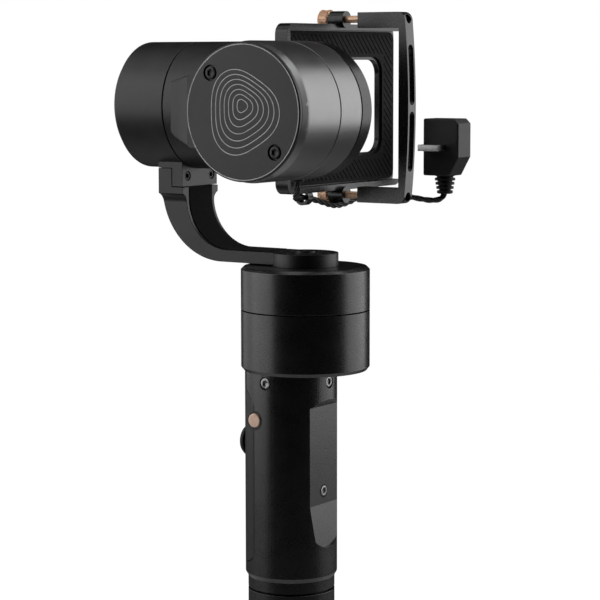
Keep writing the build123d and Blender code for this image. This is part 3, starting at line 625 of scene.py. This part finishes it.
dress_screws("hub_screws", 4, screw_black, lambda c: (0, 0, 1), 1.35, 0.9)
dress_screws("foot_screws", 2, screw_black, lambda c: (0, -1, 0), 1.1, 0.9)
dress_screws("tilt_cap_screws", 2, screw_black, lambda c: (-1, 0, 0), 0.65, 0.9)
dress_screws("roll_cap_screws", 2, screw_black, lambda c: (0, 1, 0), 0.65, 0.9)
dress_screws("handle_screws", 5, screw_steel, handle_way, 0.9, 1.0)

# %% [markdown]
# ## Knurled thumbscrews
# A knurling wheel presses two sets of slanting ridges into a thumbscrew, which cross as diamonds.
# A displaced surface would need very many faces for this, so short ribs stand in a ring, tilted one
# way, and a second ring crosses them tilted the other way.

# %% Knurls
KNURL_TILT, KNURL_FROM_END = 0.55, 1.72 * MM
knurl = Recipe("ring_of_ribs", {"Count": 26, "Radius": 2.5 * MM, "Length": 3.0 * MM,
                                "Width": 0.18 * MM, "Depth": 0.16 * MM, "Tilt": 0.6})
ring = knurl.add("GeometryNodeMeshCircle", {}, {
    "Vertices": knurl.given("Count"), "Radius": knurl.given("Radius")})
rib = knurl.add("GeometryNodeMeshCube", {}, {
    "Size": knurl.vector(knurl.given("Depth"), knurl.given("Width"), knurl.given("Length"))})
turn = knurl.add("GeometryNodeInputIndex") * tau / knurl.given("Count")
knurl.ends(knurl.add("GeometryNodeInstanceOnPoints", {}, {
    "Points": ring, "Instance": rib, "Rotation": knurl.vector(knurl.given("Tilt"), 0.0, turn)}))
for node in ("thumbscrew_top", "thumbscrew_bottom"):
    low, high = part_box(node)
    at = Vector((centre_of(node).x, high.y - KNURL_FROM_END, centre_of(node).z)) / MM
    ways = [knurl.made(f"{node}_knurl_{k}", gold_knurl, [(0, 0, 0)], {"Tilt": tilt},
                       turned_to((0, 1, 0), at))
            for k, tilt in enumerate((KNURL_TILT, -KNURL_TILT))]
    stands_for(joined(node + "_knurl", ways), node, extra=True)

# %% [markdown]
# ## Ribs on the pad
# The rubber pad behind the camera is moulded with fine slanting ribs that grip its back. The
# centre line of each rib is worked out in plain Python, cut short at the pad's window, and the
# tree sweeps a round rib along it, half sunk in the pad.

# %% Pad ribs
RIB_PITCH, RIB_MARGIN, RIB_SUNK = 1.5 * MM, 1.0 * MM, 0.08 * MM
WINDOW_HALF_H, WINDOW_X = 13.8 * MM, (-18.8 * MM, 19.8 * MM)
ribs = Recipe("swept_ribs", {"Rib Radius": 0.24 * MM})
round_rib = ribs.add("GeometryNodeCurvePrimitiveCircle", {}, {
    "Resolution": 8, "Radius": ribs.given("Rib Radius")})
track = ribs.add("GeometryNodeMeshToCurve", {}, {"Mesh": ribs.given()})
ribs.ends(ribs.add("GeometryNodeCurveToMesh", {}, {
    "Curve": track, "Profile Curve": round_rib, "Fill Caps": True}))


def slanting_runs(pad, window, pitch):
    """The stretches of evenly spaced 45 degree lines in pad but not in window, both (x, z) boxes."""
    def reach(box, total):
        (low_x, low_z), (high_x, high_z) = box
        return max(low_x, total - high_z), min(high_x, total - low_z)

    total, last, runs = sum(pad[0]) + pitch, sum(pad[1]), []
    while total < last:
        start, end = reach(pad, total)
        hole_start, hole_end = reach(window, total)
        cuts = [(start, hole_start), (hole_end, end)] if hole_start < hole_end else [(start, end)]
        runs += [((a, total - a), (b, total - b)) for a, b in cuts if b - a > pitch]
        total += pitch * 2 ** 0.5
    return runs


pad_low, pad_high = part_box("grip_pad")
pad_box = [(pad_low.x + RIB_MARGIN, pad_low.z + RIB_MARGIN),
           (pad_high.x - RIB_MARGIN, pad_high.z - RIB_MARGIN)]
window_box = [(WINDOW_X[side] + way * RIB_MARGIN, TILT_AXIS.z + way * (WINDOW_HALF_H + RIB_MARGIN))
              for side, way in ((0, -1), (1, 1))]
runs = slanting_runs(pad_box, window_box, RIB_PITCH)
ends = [(x, pad_low.y + RIB_SUNK, z) for run in runs for x, z in run]
pairs = [(k, k + 1) for k in range(0, len(ends), 2)]
print(len(pairs), "ribs")
stands_for(ribs.made("pad_ribs", pad_rubber, (ends, pairs)), "grip_pad", extra=True)

# %% [markdown]
# ## Lines on the cap
# The end cap of the tilt motor carries fine contour lines and a light line round its rim, printed
# or cut through the black. A drawn image would do it, but lines as geometry stay sharp at any
# distance. The pattern is plain nested waves: one circle is waved, copied at growing sizes and
# swept with a flat strip. The rim's line is the same tree with one copy and no waves.

# %% Contour lines
RIM_LINE_INSET = 0.5 * MM
contour = Recipe("contour_lines", {"Lines": 7, "First Radius": 1.6 * MM, "Last Radius": 10.4 * MM,
                                   "Waves": 3, "Wave Depth": 0.09, "Drift": 1.6 * MM,
                                   "Line Width": 0.2 * MM, "Line Height": 0.03 * MM})
loop = contour.add("GeometryNodeCurvePrimitiveCircle", {}, {"Resolution": 144, "Radius": 1.0})
angle = contour.add("GeometryNodeSplineParameter", out="Factor") * tau * contour.given("Waves")
swell = contour.across("SCALE", contour.add("GeometryNodeInputPosition"),
                       angle.sine() * contour.given("Wave Depth"))
loop = contour.add("GeometryNodeSetPosition", {}, {"Geometry": loop, "Offset": swell})
# The thousandth keeps a single line from dividing by zero.
share = contour.add("GeometryNodeInputIndex") / (contour.given("Lines") - 1.0 + 0.001)
spread = contour.given("Last Radius") - contour.given("First Radius")
scale = contour.given("First Radius") + share * spread
points = contour.add("GeometryNodeMeshLine", {}, {"Count": contour.given("Lines"), "Offset": (0, 0, 0)})
points = contour.add("GeometryNodeSetPosition", {}, {
    "Geometry": points, "Offset": contour.vector(contour.given("Drift") * (1.0 - share), 0.0, 0.0)})
nest = contour.add("GeometryNodeInstanceOnPoints", {}, {
    "Points": points, "Instance": loop, "Scale": contour.vector(scale, scale, scale)})
nest = contour.add("GeometryNodeRealizeInstances", {}, {0: nest})
strip = contour.add("GeometryNodeCurvePrimitiveQuadrilateral", {}, {
    "Width": contour.given("Line Width"), "Height": contour.given("Line Height")})
contour.ends(contour.add("GeometryNodeCurveToMesh", {}, {"Curve": nest, "Profile Curve": strip}))
cap_low, cap_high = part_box("tilt_cap")
cap_face = Vector((cap_low.x, TILT_AXIS.y, TILT_AXIS.z)) / MM
lines = contour.made("cap_lines", line_paint, [(0, 0, 0)], {}, turned_to((-1, 0, 0), cap_face))
rim_r = (cap_high.z - cap_low.z) / 2 - RIM_LINE_INSET
plain_ring = {"Lines": 1, "First Radius": rim_r, "Last Radius": rim_r, "Wave Depth": 0.0, "Drift": 0.0}
rim_line = contour.made("cap_rim_line", line_paint, [(0, 0, 0)], plain_ring,
                        turned_to((-1, 0, 0), cap_face))
stands_for(joined("cap_line_work", [lines, rim_line]), "tilt_cap", extra=True)

# %% [markdown]
# ## Camera lead
# Four thin wires lie round each other along the lead's path, with a turn every 13 mm. The path is
# the one the lead takes from its grommet, past two eyelets, to the plug. Drawing four curves by
# hand would never lie evenly, so the tree copies the path four times and turns each copy round it.

# %% Twisted wires
LEAD_ROUTE = [
    (-32.3, -24.0, 240.6), (-32.3, -24.0, 237.2), (-30.0, -21.8, 234.9), (-25.8, -19.2, 234.1),
    (-20.0, -17.9, 234.3), (-12.5, -17.9, 232.8), (-4.0, -17.9, 230.7), (5.0, -17.9, 232.0),
    (14.0, -17.9, 234.3), (20.5, -20.2, 233.3), (27.0, -24.4, 231.8), (32.0, -28.2, 230.6),
    (35.2, -30.1, 231.6), (35.2, -30.1, 234.4),
]
path = bpy.data.curves.new("lead_path", "CURVE")
path.dimensions, path.resolution_u = "3D", 8
spline = path.splines.new("NURBS")
spline.points.add(len(LEAD_ROUTE) - 1)
for point, place in zip(spline.points, LEAD_ROUTE):
    point.co = (*[c * MM for c in place], 1.0)
spline.order_u, spline.use_endpoint_u = 3, True

twist = Recipe("twisted_wires", {"Wires": 4, "Wire Radius": 0.35 * MM, "Lay Radius": 0.5 * MM,
                                 "Turn": 13 * MM})
route = twist.add("GeometryNodeResampleCurve", {}, {"Curve": twist.given(), "Count": 220})
copies = twist.add("GeometryNodeDuplicateElements", {"domain": "SPLINE"}, {
    "Geometry": route, "Amount": twist.given("Wires")})
which = Wire(twist, copies.socket.node.outputs["Duplicate Index"])
angle = (twist.add("GeometryNodeSplineParameter", out="Length") / twist.given("Turn")
         + which / twist.given("Wires")) * tau
normal, tangent = twist.add("GeometryNodeInputNormal"), twist.add("GeometryNodeInputTangent")
side = twist.across("CROSS_PRODUCT", tangent, normal)
lay = twist.across("ADD", twist.across("SCALE", normal, angle.cosine()),
                   twist.across("SCALE", side, angle.sine()))
laid = twist.add("GeometryNodeSetPosition", {}, {
    "Geometry": copies, "Offset": twist.across("SCALE", lay, twist.given("Lay Radius"))})
round_wire = twist.add("GeometryNodeCurvePrimitiveCircle", {}, {
    "Resolution": 10, "Radius": twist.given("Wire Radius")})
twist.ends(twist.add("GeometryNodeCurveToMesh", {}, {
    "Curve": laid, "Profile Curve": round_wire, "Fill Caps": True}))
stands_for(twist.made("lead_wires", wire_skin, path), "camera_lead")

# %% [markdown]
# ## Studio
# A black cylinder shows what stands round it. On a plain white floor it would turn grey from below,
# so the floor is pale only near the object. Further out it is dark to every ray but the camera's,
# which sees it glow, and so it runs out into the white behind it.

# %% Floor
FLOOR_R, FLOOR_NEAR, FLOOR_FAR, FLOOR_SIDES = 1.1, 0.12, 0.34, 96
floor_mesh = bpy.data.meshes.new("floor")
turns = [k * tau / FLOOR_SIDES for k in range(FLOOR_SIDES)]
floor_mesh.from_pydata([(FLOOR_R * cos(turn), FLOOR_R * sin(turn), 0) for turn in turns], [],
                       [list(range(FLOOR_SIDES))])
floor = bpy.data.objects.new("floor", floor_mesh)
bpy.context.scene.collection.objects.link(floor)
paper = Finish("white_paper", (0.82, 0.82, 0.82), 0.8)
east, north = paper.axes()[:2]
reach = ((east * east + north * north) ** 0.5).clip(FLOOR_NEAR, FLOOR_FAR)
looked_at = paper.add("ShaderNodeLightPath", out="Is Camera Ray")
glow = reach.clip(0, 1, 0.3, 1.0) * looked_at
paper.put("Emission Color", paper.mix(glow, (0, 0, 0, 1), (1, 1, 1, 1)))
paper.put("Emission Strength", 1.0)
fibre = paper.noise(1.5 * MM, 3.0)
shade = reach.clip(0, 1, 0.82, 0.05) + fibre * 0.03
paper.put("Base Color", paper.add("ShaderNodeCombineColor", {}, {0: shade, 1: shade, 2: shade}))
floor_mesh.materials.append(paper.material)


# %% [markdown]
# ## Soft boxes
# Product light for black metal is mostly dark: tall soft boxes stand far to the sides, so that a
# cylinder shows a soft bright band near each edge and stays black between them. Two boxes above
# pick out the tops of the motors. The world is white to the camera and nearly black to the rest.

# %% Lights
HEAD_CENTRE, AMBIENT = Vector((0, 0, 0.235)), 0.008


def soft_box(name, azimuth, height, distance, width, tall, power):
    """A rectangular light that faces the head of the object from an azimuth in degrees."""
    panel = bpy.data.lights.new(name, "AREA")
    panel.shape, panel.size, panel.size_y, panel.energy = "RECTANGLE", width, tall, power
    box = bpy.data.objects.new(name, panel)
    turn = radians(azimuth)
    box.location = (distance * sin(turn), -distance * cos(turn), height)
    aim = HEAD_CENTRE - box.location
    box.rotation_euler = aim.to_track_quat("-Z", "Y").to_euler()
    bpy.context.scene.collection.objects.link(box)


soft_box("left_box", -140, 0.4, 0.95, 0.9, 1.3, 6.5)
soft_box("rear_box", -182, 0.4, 0.95, 0.7, 1.3, 2.3)
soft_box("right_box", 47, 0.34, 1.0, 1.1, 1.3, 9)
soft_box("brow_box", 25, 1.15, 0.6, 0.7, 0.6, 2.6)
soft_box("top_box", -130, 1.3, 0.3, 0.9, 0.9, 2.8)

world = bpy.data.worlds.new("studio")
world.use_nodes = True
bpy.context.scene.world = world
sky = Tree(world.node_tree)
seen = sky.add("ShaderNodeLightPath", out="Is Camera Ray")
backdrop = sky.add("ShaderNodeBackground", {}, {"Color": (1, 1, 1, 1), "Strength": 1.0})
ambient = sky.add("ShaderNodeBackground", {}, {"Color": (1, 1, 1, 1), "Strength": AMBIENT})
room = sky.add("ShaderNodeMixShader", {}, {0: seen, 1: ambient, 2: backdrop})
sky.links.new(room.socket, world.node_tree.nodes["World Output"].inputs[0])
bpy.context.scene.view_settings.view_transform = "Standard"
